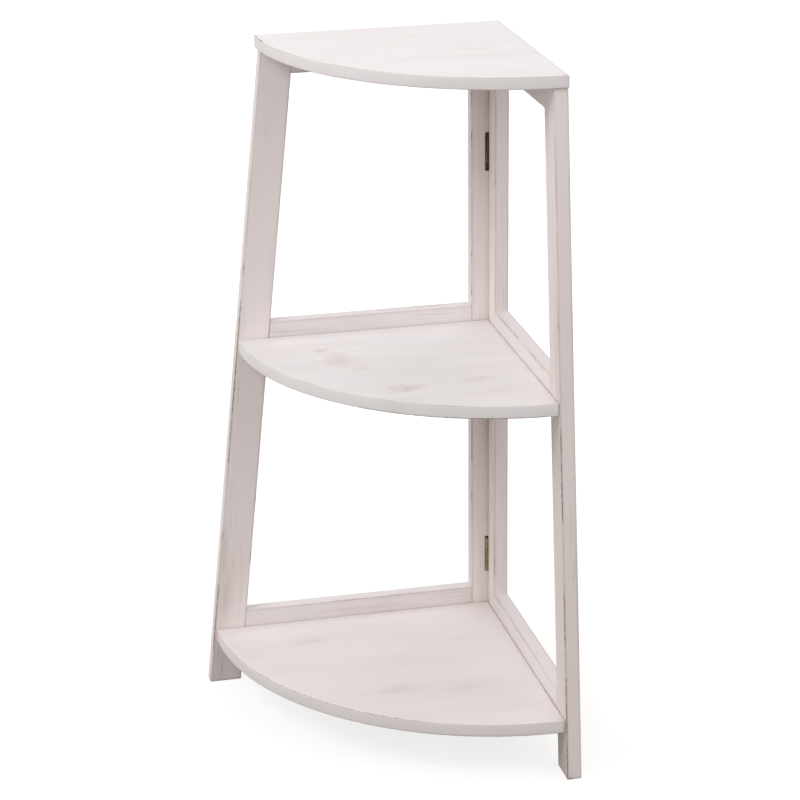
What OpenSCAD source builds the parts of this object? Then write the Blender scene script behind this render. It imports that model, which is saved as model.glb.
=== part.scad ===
// Folding corner shelf: two ladder frames hinged at the corner, with three quarter-round shelves.
// Millimetres, +Z up, feet on Z = 0. The origin is on the floor, midway between the walls' ends.
// The left frame stands against the wall at the greatest Y, the right frame against the greatest X.
// Inside a frame, u runs from the outer corner along the wall and v from the wall into the room.

/* [Overall] */
// Height of the top of the top shelf above the floor
height = 800; // [740:1:860]
// Distance from the outer corner to the toe of each front leg
foot_reach = 370; // [350:1:400]
// Lean of each front leg back towards the corner, in degrees
leg_lean = 6.1; // [3:0.1:7]

/* [Boards] */
// Thickness of the frame boards
board_t = 17; // [15:0.5:20]
// Width of the front legs
leg_w = 38; // [32:1:44]
// Width of the left frame's corner post
left_post_w = 38; // [34:1:44]
// Width of the right frame's corner post
right_post_w = 29; // [26:1:36]
// Height of the rail under the top shelf
top_rail_h = 30; // [26:1:40]
// Radius that eases the long edges of the frame boards
arris_r = 1.5; // [0.8:0.1:2.5]

/* [Shelves] */
// Thickness of the top shelf
top_shelf_t = 14; // [13:0.5:18]
// Thickness of the middle and bottom shelves
shelf_t = 15; // [12:0.5:18]
// Height of the middle shelf's top surface
middle_shelf_z = 440; // [400:1:480]
// Height of the bottom shelf's top surface
bottom_shelf_z = 70; // [60:1:90]
// How far the top shelf's tips pass the legs
top_overhang = 4; // [0:0.5:10]
// How far the middle shelf's tips stay behind the legs' front edges
middle_setback = 1; // [0:0.5:8]
// How far the bottom shelf's tips stay behind the legs' front edges
bottom_setback = 3; // [0:0.5:8]
// Radius that eases the curved edges of the shelves
shelf_edge_r = 1.2; // [0.6:0.1:2.5]
// Play between a shelf's straight edges and the frames
shelf_gap = 0.5; // [0.3:0.1:1]

/* [Rails and cleats] */
// How far the middle rails stand above the middle shelf
middle_rail_rise = 19; // [14:1:30]
// How far the bottom rails stand above the bottom shelf
bottom_rail_rise = 21; // [14:1:30]
// Height of the cleats that carry the shelves
cleat_h = 10; // [9:0.5:14]
// How far a cleat reaches under its shelf
cleat_d = 10; // [8:0.5:10]
// How far a rail runs on below its cleat
cleat_cover = 1; // [0.5:0.5:3]
// Distance from the inner corner to the start of each cleat
cleat_start = 65; // [62:1:80]
// Distance from the end of each cleat to the leg
cleat_end = 20; // [10:1:40]
// Radius that eases the cleats' edges
cleat_r = 0.8; // [0.4:0.1:1.5]

/* [Hinges] */
// Height of a hinge's leaves and knuckles
hinge_h = 44; // [40:1:50]
// Width of a leaf from the pin's axis
leaf_w = 15; // [13:0.5:16]
// Thickness of a leaf
leaf_t = 1.2; // [1:0.1:1.6]
// Diameter of the knuckles
knuckle_d = 4.8; // [4.6:0.1:5.4]
// Length of each outer knuckle
end_knuckle = 12.5; // [11:0.5:14]
// Diameter of the hinge pin
pin_d = 2.2; // [2:0.1:2.6]
// Height of the domed ends of the pin
pin_dome = 1.2; // [0.8:0.1:1.6]
// How far the pin's axis stands out from the right post's inner face
pin_stand = 1.6; // [1.4:0.1:2]
// Gap between the two frames' posts when the frame is open
fold_gap = 0.5; // [0.3:0.1:1]
// Distance from the top of the frames down to the middle of the upper hinge
upper_hinge_drop = 138; // [100:0.5:180]
// Height of the middle of the lower hinge
lower_hinge_z = 134.5; // [130:0.5:200]
// Distance from a hinge's middle to each of its screws
hinge_screw_pitch = 13.5; // [12:0.5:15]
// Distance from the pin's axis to the leaf's screws
hinge_screw_x = 9.3; // [8:0.1:10]

/* [Dowels and screws] */
// Diameter of the dowels in the frame joints
dowel_d = 6; // [5:0.5:8]
// Length of the dowels in the frame joints
dowel_l = 30; // [24:1:34]
// Distance from a rail's top and bottom to its dowels
dowel_inset = 8; // [6.5:0.5:9]
// Distance from the top rail's ends to the dowels that hold the top shelf
shelf_dowel_inset = 48; // [40:1:70]
// Diameter of the dowels that hold the top shelf
shelf_dowel_d = 8; // [6:0.5:9]
// How far those dowels stand above the rail
shelf_dowel_rise = 8; // [6:0.5:9]
// How deep those dowels sit in the rail
shelf_dowel_seat = 14; // [10:1:18]
// Distance from a cleat's ends to its screws
cleat_screw_inset = 30; // [20:1:50]
// Shank diameter of the cleat screws
cleat_screw_d = 3.5; // [3:0.1:4]
// Length of the cleat screws
cleat_screw_l = 22; // [18:1:24]
// Shank diameter of the hinge screws
hinge_screw_d = 2.6; // [2.2:0.1:3]
// Length of the hinge screws
hinge_screw_l = 13; // [10:1:14]

/* [Hidden] */
$fn = 96;

// Clearances and small fits
swing_gap = 0.3;      // right frame under the top shelf
glue_fit = 0.05;      // round a dowel, on the radius
lift_fit = 0.2;       // round a dowel that slides out of the top shelf, on the radius
pin_fit = 0.05;       // round the hinge pin, on the radius
leaf_fit = 0.2;       // round a leaf in its recess
knuckle_fit = 0.2;    // between knuckles, and round a barrel in its recess
screw_fit = 0.05;     // round a screw, on the radius
hole_spare = 0.5;     // a blind hole runs on past what it holds
overcut = 1;          // a cut starts this far outside the wood
dowel_chamfer = 0.8;

// Frame heights
frame_h = height - top_shelf_t;
right_frame_h = frame_h - swing_gap;

// Rails: [bottom, top] of each
top_rail = [frame_h - top_rail_h, frame_h];
right_top_rail_z = [top_rail[0], right_frame_h];
rail_drop = shelf_t + cleat_h + cleat_cover;
middle_rail = [middle_shelf_z - rail_drop, middle_shelf_z + middle_rail_rise];
bottom_rail = [bottom_shelf_z - rail_drop, bottom_shelf_z + bottom_rail_rise];

// Corner posts: [near, far] edge of each along its wall
left_post_u = [0, left_post_w];
right_post_u = [board_t + fold_gap, board_t + fold_gap + right_post_w];

// Legs: where the outer and inner edges are at height z
function leg_outer(z) = foot_reach - z * tan(leg_lean);
function leg_inner(z) = leg_outer(z) - leg_w / cos(leg_lean);

// Shelves: radius of each
top_shelf_r = leg_outer(frame_h) + top_overhang;
middle_shelf_r = leg_outer(middle_shelf_z) - board_t - middle_setback;
bottom_shelf_r = leg_outer(bottom_shelf_z) - board_t - bottom_setback;

// Hinge pin axis, seen from the outer corner
pin_x = -(board_t + pin_stand);
pin_y = -(board_t + fold_gap / 2);
upper_hinge_z = frame_h - upper_hinge_drop;

// Screw heads
cleat_head_d = 2 * cleat_screw_d;
hinge_head_d = hinge_screw_d + 2 * leaf_t;

// Dowels: heights of one rail's, and places of the top shelf's along the wall
function dowel_heights(rail) = [rail[0] + dowel_inset, rail[1] - dowel_inset];
shelf_dowel_u = [left_post_w + shelf_dowel_inset, leg_inner(frame_h) - shelf_dowel_inset];

// Colours
whitewash = [0.86, 0.84, 0.83];
whitewash_shelf = [0.91, 0.90, 0.89];
raw_pine = [0.80, 0.68, 0.50];
antique_brass = [0.48, 0.40, 0.26];
dark_brass = [0.36, 0.29, 0.19];
zinc = [0.62, 0.62, 0.60];

// Places a child given from the outer corner into the shelf's own frame
module at_corner() {
    translate([foot_reach / 2, foot_reach / 2, 0]) children();
}

// Lays a child given as (u, v, z) along the left wall
module on_left() {
    at_corner() rotate([0, 0, 180]) children();
}

// Lays a child given as (u, v, z) along the right wall
module on_right() {
    at_corner() rotate([0, 0, 180]) mirror([1, -1, 0]) children();
}

// Outline of a board whose four corners are eased
module eased_outline(width, depth, r) {
    translate([r, 0]) square([width - 2 * r, depth]);
    translate([0, r]) square([width, depth - 2 * r]);
    for (x = [r, width - r], y = [r, depth - r]) translate([x, y]) circle(r, $fn = 32);
}

// An upright board from edge u[0] to edge u[1]
module post_blank(u, top) {
    translate([u[0], 0, 0]) linear_extrude(top) eased_outline(u[1] - u[0], board_t, arris_r);
}

// The leaning space of a front leg, from its inner edge outwards for the given width
module leaning(width) {
    translate([foot_reach, 0, 0])
        rotate([0, -leg_lean, 0])
            translate([-leg_w, 0, -leg_w]) linear_extrude(height + 2 * leg_w) children();
}

// A front leg, cut level at the floor and at the top
module leg_blank(top) {
    intersection() {
        leaning() eased_outline(leg_w, board_t, arris_r);
        translate([0, -overcut, 0]) cube([foot_reach + leg_w, board_t + 2 * overcut, top]);
    }
}

// A level board from the post's edge to the leg, its end cut to the leg's lean
module rail_blank(start, rail) {
    difference() {
        translate([start, 0, rail[0]])
            rotate([90, 0, 90])
                linear_extrude(foot_reach - start)
                    eased_outline(board_t, rail[1] - rail[0], arris_r);
        leaning() translate([0, -overcut]) square([foot_reach, board_t + 2 * overcut]);
    }
}

// A dowel along u, centred on its joint
module dowel(d, length) {
    rotate([0, 90, 0])
        rotate_extrude()
            polygon([
                [0, -length / 2],
                [d / 2 - dowel_chamfer, -length / 2],
                [d / 2, -length / 2 + dowel_chamfer],
                [d / 2, length / 2 - dowel_chamfer],
                [d / 2 - dowel_chamfer, length / 2],
                [0, length / 2]
            ]);
}

// The hole for that dowel, in both boards
module dowel_hole() {
    rotate([0, 90, 0])
        cylinder(d = dowel_d + 2 * glue_fit, h = dowel_l + 2 * hole_spare, center = true);
}

// Children at both ends of one rail, at its dowels' heights
module at_rail_ends(start, rail) {
    for (z = dowel_heights(rail)) {
        translate([start, board_t / 2, z]) children();
        translate([leg_inner(z), board_t / 2, z]) children();
    }
}

// Children at every dowel of a frame
module at_frame_dowels(start, frame_top_rail) {
    for (rail = [frame_top_rail, middle_rail, bottom_rail]) at_rail_ends(start, rail) children();
}

// A countersunk cross-head screw, its face at z = 0 and its point below
module screw(d, head_d, length) {
    point = 1.5 * d;
    slot_l = head_d / 2;
    slot_w = head_d / 8;
    difference() {
        rotate_extrude()
            polygon([
                [0, 0],
                [head_d / 2, 0],
                [d / 2, -(head_d - d) / 2],
                [d / 2, point - length],
                [0, -length]
            ]);
        for (turn = [0, 90])
            rotate([0, 0, turn])
                translate([-slot_l / 2, -slot_w / 2, -slot_w]) cube([slot_l, slot_w, slot_w + overcut]);
    }
}

// The countersunk hole for that screw
module screw_hole(d, head_d, length) {
    rotate_extrude()
        polygon([
            [0, overcut],
            [head_d / 2 + screw_fit, overcut],
            [head_d / 2 + screw_fit, 0],
            [d / 2 + screw_fit, -(head_d - d) / 2],
            [d / 2 + screw_fit, -length - hole_spare],
            [0, -length - hole_spare]
        ]);
}

// Where a cleat starts and ends along the wall
function cleat_u(shelf_z) = [board_t + cleat_start, leg_inner(shelf_z) - cleat_end];

// Children at a cleat's two screws, facing into the room
module at_cleat_screws(shelf_z) {
    ends = cleat_u(shelf_z);
    for (u = [ends[0] + cleat_screw_inset, ends[1] - cleat_screw_inset])
        translate([u, board_t + cleat_d, shelf_z - shelf_t - cleat_h / 2]) rotate([-90, 0, 0]) children();
}

module cleat_screw() screw(cleat_screw_d, cleat_head_d, cleat_screw_l);
module cleat_screw_hole() screw_hole(cleat_screw_d, cleat_head_d, cleat_screw_l);

// A cleat screwed to the inner face of a rail, its top level with the shelf's underside
module cleat(shelf_z) {
    ends = cleat_u(shelf_z);
    difference() {
        translate([ends[0], board_t, shelf_z - shelf_t - cleat_h])
            rotate([90, 0, 90])
                linear_extrude(ends[1] - ends[0]) eased_outline(cleat_d, cleat_h, cleat_r);
        at_cleat_screws(shelf_z) cleat_screw_hole();
    }
}

// Rails with their dowel holes, and with screw holes where a cleat is fixed
module top_rail_piece(start, rail) {
    difference() {
        rail_blank(start, rail);
        at_rail_ends(start, rail) dowel_hole();
    }
}

module cleat_rail_piece(start, rail, shelf_z) {
    difference() {
        rail_blank(start, rail);
        at_rail_ends(start, rail) dowel_hole();
        at_cleat_screws(shelf_z) cleat_screw_hole();
    }
}

// A quarter-round board with its corner at the origin, filling the quarter x < 0, y < 0
module quarter_board(radius, thickness, play) {
    r = shelf_edge_r;
    intersection() {
        rotate_extrude($fn = 180) {
            square([radius - r, thickness]);
            translate([0, r]) square([radius, thickness - 2 * r]);
            for (y = [r, thickness - r]) translate([radius - r, y]) circle(r, $fn = 32);
        }
        translate([-radius - overcut, -radius - overcut, -overcut])
            cube([radius + overcut - play, radius + overcut - play, thickness + 2 * overcut]);
    }
}

// Children at the pin's axis, at the middle of a hinge
module at_pin(hinge_z) {
    at_corner() translate([pin_x, pin_y, hinge_z]) children();
}

// The plate of a leaf: side is 1 for the left leaf, -1 for the right leaf
module leaf_plate(side) {
    near = fold_gap / 2;
    translate([0, side > 0 ? near : -near - leaf_t, -hinge_h / 2]) cube([leaf_w, leaf_t, hinge_h]);
}

// Children at the screws of a leaf, facing out of its post
module at_leaf_screws(side) {
    for (z = [-hinge_screw_pitch, hinge_screw_pitch])
        translate([hinge_screw_x, side * fold_gap / 2, z]) rotate([side * 90, 0, 0]) children();
}

module hinge_screw() screw(hinge_screw_d, hinge_head_d, hinge_screw_l);
module hinge_screw_hole() screw_hole(hinge_screw_d, hinge_head_d, hinge_screw_l);

// A solid stretch of barrel between two heights
module barrel(low, high, widening) {
    translate([0, 0, low]) cylinder(d = knuckle_d + 2 * widening, h = high - low);
}

middle_low = -hinge_h / 2 + end_knuckle;
middle_high = hinge_h / 2 - end_knuckle;

// The leaf on the left post, with the two outer knuckles
module left_leaf() {
    difference() {
        union() {
            leaf_plate(1);
            barrel(-hinge_h / 2, middle_low, 0);
            barrel(middle_high, hinge_h / 2, 0);
        }
        barrel(middle_low, middle_high, knuckle_fit);
        cylinder(d = pin_d + 2 * pin_fit, h = hinge_h + 2 * overcut, center = true);
        at_leaf_screws(1) hinge_screw_hole();
    }
}

// The leaf on the right post, with the middle knuckle
module right_leaf() {
    difference() {
        union() {
            leaf_plate(-1);
            barrel(middle_low + knuckle_fit, middle_high - knuckle_fit, 0);
        }
        barrel(-hinge_h / 2 - overcut, middle_low + knuckle_fit, knuckle_fit);
        barrel(middle_high - knuckle_fit, hinge_h / 2 + overcut, knuckle_fit);
        cylinder(d = pin_d + 2 * pin_fit, h = hinge_h + 2 * overcut, center = true);
        at_leaf_screws(-1) hinge_screw_hole();
    }
}

// The pin, with a dome as wide as the barrel at each end
module hinge_pin() {
    cylinder(d = pin_d, h = hinge_h, center = true);
    for (flip = [0, 1]) mirror([0, 0, flip]) translate([0, 0, hinge_h / 2]) pin_end();
}

// The dome is the cap of a ball that meets the knuckle's rim
module pin_end() {
    ball_r = (knuckle_d * knuckle_d / 4 + pin_dome * pin_dome) / (2 * pin_dome);
    rotate_extrude()
        intersection() {
            translate([0, pin_dome - ball_r]) circle(ball_r, $fn = 180);
            square([knuckle_d, pin_dome + overcut]);
        }
}

// What a hinge needs cut from both posts: side is 1 in the left post, -1 in the right post
module hinge_recess(hinge_z, side) {
    at_pin(hinge_z) {
        barrel_half = hinge_h / 2 + pin_dome + knuckle_fit;
        barrel(-barrel_half, barrel_half, knuckle_fit);
        near = fold_gap / 2;
        reach = leaf_w + leaf_fit;
        tall = hinge_h + 2 * leaf_fit;
        translate([0, side > 0 ? near - overcut : -near - leaf_t, -tall / 2])
            cube([reach, leaf_t + overcut, tall]);
        at_leaf_screws(side) hinge_screw_hole();
    }
}

module hinge_recesses(side) {
    hinge_recess(upper_hinge_z, side);
    hinge_recess(lower_hinge_z, side);
}

// Left frame
module left_post() {
    color(whitewash)
        difference() {
            on_left() post_blank(left_post_u, frame_h);
            on_left() at_frame_dowels(left_post_u[1], top_rail) dowel_hole();
            hinge_recesses(1);
        }
}

module left_leg() {
    color(whitewash)
        on_left()
            difference() {
                leg_blank(frame_h);
                at_frame_dowels(left_post_u[1], top_rail) dowel_hole();
            }
}

module left_top_rail() {
    color(whitewash)
        on_left()
            difference() {
                top_rail_piece(left_post_u[1], top_rail);
                at_shelf_dowels() shelf_dowel_hole(glue_fit);
            }
}

module left_middle_rail() {
    color(whitewash) on_left() cleat_rail_piece(left_post_u[1], middle_rail, middle_shelf_z);
}

module left_bottom_rail() {
    color(whitewash) on_left() cleat_rail_piece(left_post_u[1], bottom_rail, bottom_shelf_z);
}

module left_frame_dowels() {
    color(raw_pine) on_left() at_frame_dowels(left_post_u[1], top_rail) dowel(dowel_d, dowel_l);
}

module left_middle_cleat() {
    color(whitewash) on_left() cleat(middle_shelf_z);
}

module left_bottom_cleat() {
    color(whitewash) on_left() cleat(bottom_shelf_z);
}

module left_cleat_screws() {
    color(zinc)
        on_left() {
            at_cleat_screws(middle_shelf_z) cleat_screw();
            at_cleat_screws(bottom_shelf_z) cleat_screw();
        }
}

// Right frame
module right_post() {
    color(whitewash)
        difference() {
            on_right() post_blank(right_post_u, right_frame_h);
            on_right() at_frame_dowels(right_post_u[1], right_top_rail_z) dowel_hole();
            hinge_recesses(-1);
        }
}

module right_leg() {
    color(whitewash)
        on_right()
            difference() {
                leg_blank(right_frame_h);
                at_frame_dowels(right_post_u[1], right_top_rail_z) dowel_hole();
            }
}

module right_top_rail() {
    color(whitewash) on_right() top_rail_piece(right_post_u[1], right_top_rail_z);
}

module right_middle_rail() {
    color(whitewash) on_right() cleat_rail_piece(right_post_u[1], middle_rail, middle_shelf_z);
}

module right_bottom_rail() {
    color(whitewash) on_right() cleat_rail_piece(right_post_u[1], bottom_rail, bottom_shelf_z);
}

module right_frame_dowels() {
    color(raw_pine)
        on_right() at_frame_dowels(right_post_u[1], right_top_rail_z) dowel(dowel_d, dowel_l);
}

module right_middle_cleat() {
    color(whitewash) on_right() cleat(middle_shelf_z);
}

module right_bottom_cleat() {
    color(whitewash) on_right() cleat(bottom_shelf_z);
}

module right_cleat_screws() {
    color(zinc)
        on_right() {
            at_cleat_screws(middle_shelf_z) cleat_screw();
            at_cleat_screws(bottom_shelf_z) cleat_screw();
        }
}

// Top shelf: glued dowels in the left rail, slid into blind holes in the shelf
module at_shelf_dowels() {
    for (u = shelf_dowel_u) translate([u, board_t / 2, frame_h]) children();
}

module shelf_dowel_hole(fit) {
    low = -shelf_dowel_seat;
    high = shelf_dowel_rise + hole_spare;
    translate([0, 0, low]) cylinder(d = shelf_dowel_d + 2 * fit, h = high - low);
}

module top_shelf_dowels() {
    length = shelf_dowel_seat + shelf_dowel_rise;
    color(raw_pine)
        on_left() at_shelf_dowels() translate([0, 0, length / 2 - shelf_dowel_seat])
            rotate([0, 90, 0]) dowel(shelf_dowel_d, length);
}

module top_shelf() {
    color(whitewash_shelf)
        difference() {
            at_corner() translate([0, 0, frame_h]) quarter_board(top_shelf_r, top_shelf_t, 0);
            on_left() at_shelf_dowels() shelf_dowel_hole(lift_fit);
        }
}

// The two lower shelves lie between the frames' inner faces
module at_inner_corner(z) {
    at_corner() translate([-board_t, -board_t, z]) children();
}

module middle_shelf() {
    color(whitewash_shelf)
        at_inner_corner(middle_shelf_z - shelf_t) quarter_board(middle_shelf_r, shelf_t, shelf_gap);
}

module bottom_shelf() {
    color(whitewash_shelf)
        at_inner_corner(bottom_shelf_z - shelf_t) quarter_board(bottom_shelf_r, shelf_t, shelf_gap);
}

// Hinges
module upper_hinge_left_leaf() {
    color(antique_brass) at_pin(upper_hinge_z) left_leaf();
}

module upper_hinge_right_leaf() {
    color(antique_brass) at_pin(upper_hinge_z) right_leaf();
}

module upper_hinge_pin() {
    color(dark_brass) at_pin(upper_hinge_z) hinge_pin();
}

module lower_hinge_left_leaf() {
    color(antique_brass) at_pin(lower_hinge_z) left_leaf();
}

module lower_hinge_right_leaf() {
    color(antique_brass) at_pin(lower_hinge_z) right_leaf();
}

module lower_hinge_pin() {
    color(dark_brass) at_pin(lower_hinge_z) hinge_pin();
}

module left_leaf_screws() {
    color(dark_brass)
        for (z = [upper_hinge_z, lower_hinge_z]) at_pin(z) at_leaf_screws(1) hinge_screw();
}

module right_leaf_screws() {
    color(dark_brass)
        for (z = [upper_hinge_z, lower_hinge_z]) at_pin(z) at_leaf_screws(-1) hinge_screw();
}

left_post();
left_leg();
left_top_rail();
left_middle_rail();
left_bottom_rail();
right_post();
right_leg();
right_top_rail();
right_middle_rail();
right_bottom_rail();
left_frame_dowels();
right_frame_dowels();
left_middle_cleat();
left_bottom_cleat();
right_middle_cleat();
right_bottom_cleat();
left_cleat_screws();
right_cleat_screws();
top_shelf();
middle_shelf();
bottom_shelf();
top_shelf_dowels();
upper_hinge_left_leaf();
upper_hinge_right_leaf();
upper_hinge_pin();
lower_hinge_left_leaf();
lower_hinge_right_leaf();
lower_hinge_pin();
left_leaf_screws();
right_leaf_screws();
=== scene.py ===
"""A folding corner shelf in whitewashed wood: hinged ladder frames, quarter-round shelves, brass hinges.

The left frame stands along the wall at the greatest Y and the right frame along the wall at the
greatest X. Lengths are in metres, and every piece keeps its place in its own mesh.
"""

import random
from collections import namedtuple
from contextlib import contextmanager
from itertools import product
from math import cos, radians, sin, tan

import bmesh
import bpy
from bpy.props import FloatProperty, FloatVectorProperty, IntProperty, PointerProperty
from mathutils import Matrix, Vector


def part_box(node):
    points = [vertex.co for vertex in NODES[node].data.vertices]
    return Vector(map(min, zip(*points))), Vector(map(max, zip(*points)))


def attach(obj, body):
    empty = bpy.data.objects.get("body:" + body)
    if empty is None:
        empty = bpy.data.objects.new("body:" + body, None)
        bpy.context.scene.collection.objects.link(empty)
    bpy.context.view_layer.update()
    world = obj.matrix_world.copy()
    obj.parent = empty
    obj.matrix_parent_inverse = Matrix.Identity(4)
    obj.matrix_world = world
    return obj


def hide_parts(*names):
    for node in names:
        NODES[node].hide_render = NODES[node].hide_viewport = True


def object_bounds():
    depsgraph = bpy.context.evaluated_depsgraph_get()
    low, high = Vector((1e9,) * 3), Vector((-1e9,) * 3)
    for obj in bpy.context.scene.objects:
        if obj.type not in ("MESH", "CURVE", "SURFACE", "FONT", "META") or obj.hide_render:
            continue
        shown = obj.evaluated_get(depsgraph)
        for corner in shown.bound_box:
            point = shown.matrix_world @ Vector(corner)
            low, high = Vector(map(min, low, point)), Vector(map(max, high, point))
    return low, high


bl_info = {
    "name": "Folding Corner Shelf",
    "version": (1, 0, 0),
    "blender": (4, 5, 0),
    "location": "3D View > Sidebar > Corner Shelf",
    "description": "Dresses a folding corner shelf in whitewashed wood and aged brass",
    "category": "Object",
}

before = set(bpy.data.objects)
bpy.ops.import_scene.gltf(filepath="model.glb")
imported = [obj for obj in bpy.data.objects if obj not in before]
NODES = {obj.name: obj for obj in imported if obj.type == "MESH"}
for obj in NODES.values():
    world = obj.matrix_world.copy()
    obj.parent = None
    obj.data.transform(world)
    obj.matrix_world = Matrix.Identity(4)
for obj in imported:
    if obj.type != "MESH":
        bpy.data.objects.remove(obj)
CAD_LOW, CAD_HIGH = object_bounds()

X = Vector((1, 0, 0))
Y = Vector((0, 1, 0))
Z = Vector((0, 0, 1))
CORNER = Vector((CAD_HIGH.x, CAD_HIGH.y, 0))

# A side frame: its name, its body, the direction away from the corner and the direction of the room
Side = namedtuple("Side", "name body out room")
LEFT = Side("left", "left_frame", -X, -Y)
RIGHT = Side("right", "right_frame", -Y, -X)
SIDES = (LEFT, RIGHT)
LEVELS = ("top", "middle", "bottom")

# A plane that bounds a piece: a point on it and the direction that points out of the wood
Face = namedtuple("Face", "point outward")

# A rubbed stretch of arris: the depths below its two faces, its ends along an axis, and how bare it is
Rub = namedtuple("Rub", "skins axis start end strength")

# Where the photograph shows such stretches on each side's leg and post, as heights of their ends and how
# bare they are. On a leg, "outer" is the arris away from the corner and "inner" the one towards it
LEG_RUBS = {
    "left": {"outer": ((0.045, 0.130, 0.8), (0.190, 0.215, 0.7), (0.268, 0.500, 0.8),
                       (0.510, 0.550, 0.8)),
             "inner": ((0.142, 0.185, 0.9), (0.215, 0.240, 0.9))},
    "right": {"outer": ((0.000, 0.050, 0.8), (0.070, 0.120, 0.8), (0.165, 0.235, 0.8),
                        (0.300, 0.410, 0.8), (0.575, 0.640, 0.5)),
              "inner": ((0.110, 0.190, 0.8),)},
}
POST_RUBS = {
    "left": ((0.205, 0.230, 0.7), (0.252, 0.318, 0.7), (0.466, 0.483, 0.7), (0.511, 0.546, 0.7),
             (0.651, 0.680, 0.8), (0.699, 0.720, 0.7), (0.735, 0.785, 0.9)),
    "right": ((0.117, 0.158, 0.6), (0.600, 0.620, 0.6)),
}
# The same on the upper and lower arrises of the shelves' curved edges, as X of the ends
RIM_RUBS = {
    "top": {"upper": ((-0.1046, -0.1016, 0.7),), "lower": ((-0.020, 0.050, 0.45),)},
    "middle": {"upper": (), "lower": ((-0.040, 0.155, 0.85),)},
    "bottom": {"upper": ((-0.150, 0.010, 0.45),), "lower": ((0.000, 0.150, 0.6),)},
}
# And on the rails' top arrises on the room's side, as distances of the ends from the corner
RAIL_RUBS = {
    "left": {"bottom": ((0.180, 0.230, 0.5),)},
    "right": {"middle": ((0.060, 0.150, 0.5), (0.200, 0.230, 0.5)), "bottom": ((0.070, 0.110, 0.5),)},
}
# Faint knots on the shelves: X, Y, half their length, half their width, strength
KNOTS = {
    "top": ((0.120, 0.048, 0.034, 0.010, 0.30), (0.064, 0.130, 0.020, 0.010, 0.22)),
    "middle": ((-0.050, 0.104, 0.012, 0.010, 0.55), (-0.034, 0.070, 0.018, 0.030, 0.50),
               (-0.020, 0.030, 0.012, 0.014, 0.34), (0.016, -0.047, 0.026, 0.016, 0.60),
               (0.108, -0.036, 0.030, 0.008, 0.30)),
    "bottom": ((-0.072, 0.106, 0.034, 0.014, 0.34), (0.004, -0.048, 0.026, 0.018, 0.28),
               (0.082, -0.063, 0.030, 0.008, 0.24)),
}
KNOT_DEPTH = 0.02

# Modelling: what counts as on a face, as parallel, as a sharp edge and as a curve, in metres, as a
# cosine and as angles
ON_FACE = 1e-5
PARALLEL = 0.99
SHARP_ANGLE = radians(40)
CURVE_ANGLE = radians(35)
ROD_STEPS = 48
# The area that only a shelf's two flat faces exceed
BROAD_FACE = 0.01
# The part of an arris's radius that hand wear moves, and how far a rub reaches, in wear reaches
CREST_SHARE = 0.45
RUB_SPREAD = 1.5
# How far a cutter stands clear of the wood that it cuts, and how far the cutter of a screw's shank runs
# through, in half thicknesses of the cleat
CLEARANCE = 0.0005
RECESS_CLEARANCE = 0.002
SHANK_RUN = 1.2

# How deep the finishes' grain and grit are
PAINT_RELIEF = 0.0003
METAL_RELIEF = 0.00008
PINE_RELIEF = 0.0002
# How far in from its room face the coat of the right leg is thinner
LEG_FACE = 0.002


def display(red, green, blue):
    """A colour given as it shows on a screen, 0 to 255, as the linear values that shaders use."""
    def linear(level):
        level /= 255
        return level / 12.92 if level <= 0.04045 else ((level + 0.055) / 1.055) ** 2.4

    return linear(red), linear(green), linear(blue), 1.0


def length(name, description, default):
    """A length in metres that a user can change."""
    return FloatProperty(name=name, description=description, default=default, min=0.0, precision=4,
                         subtype="DISTANCE", unit="LENGTH")


def colour(name, description, default):
    """A colour that a user can change."""
    return FloatVectorProperty(name=name, description=description, default=default, size=4,
                               min=0.0, max=1.0, subtype="COLOR")


class ShelfSizes(bpy.types.PropertyGroup):
    """Sizes of the dressed pieces that the frame's boxes don't give."""

    leg_lean: FloatProperty(name="Leg lean", description="Lean of each front leg towards the corner",
                            default=radians(6.1), subtype="ANGLE", unit="ROTATION")
    board_arris: length("Board arris", "Radius of the eased edges of the frame boards", 0.0013)
    end_arris: length("End arris", "Radius of the eased ends of posts and legs", 0.0010)
    shelf_arris: length("Shelf arris", "Radius of the eased edges of the shelves", 0.0011)
    cleat_arris: length("Cleat arris", "Radius of the eased edges of the cleats", 0.0008)
    hand_wear: length("Hand wear", "How far sanding by hand moved an arris", 0.00012)
    wear_reach: length("Wear reach", "How far paint wear spreads from an arris", 0.005)
    shelf_play: length("Shelf play", "Gap between a lower shelf and the frames", 0.0005)
    leaf_thickness: length("Leaf thickness", "Thickness of a hinge leaf", 0.0012)
    leaf_reach: length("Leaf reach", "Width of a hinge leaf from the pin's axis", 0.015)
    hinge_fit: length("Hinge fit", "Clearance round a hinge in its recess", 0.0002)
    dowel_fit: length("Dowel fit", "Clearance round the dowels under the top shelf", 0.0002)
    screw_inset: length("Screw inset", "Distance from a cleat's ends to its screws", 0.030)
    screw_head: length("Screw head", "Diameter of a cleat screw's head", 0.007)
    score_step: length("Score step", "Spacing of the edge loops along a board", 0.024)
    arc_steps: IntProperty(name="Arc steps", description="Facets in a full turn of a shelf's curve",
                           default=360, min=96)


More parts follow.
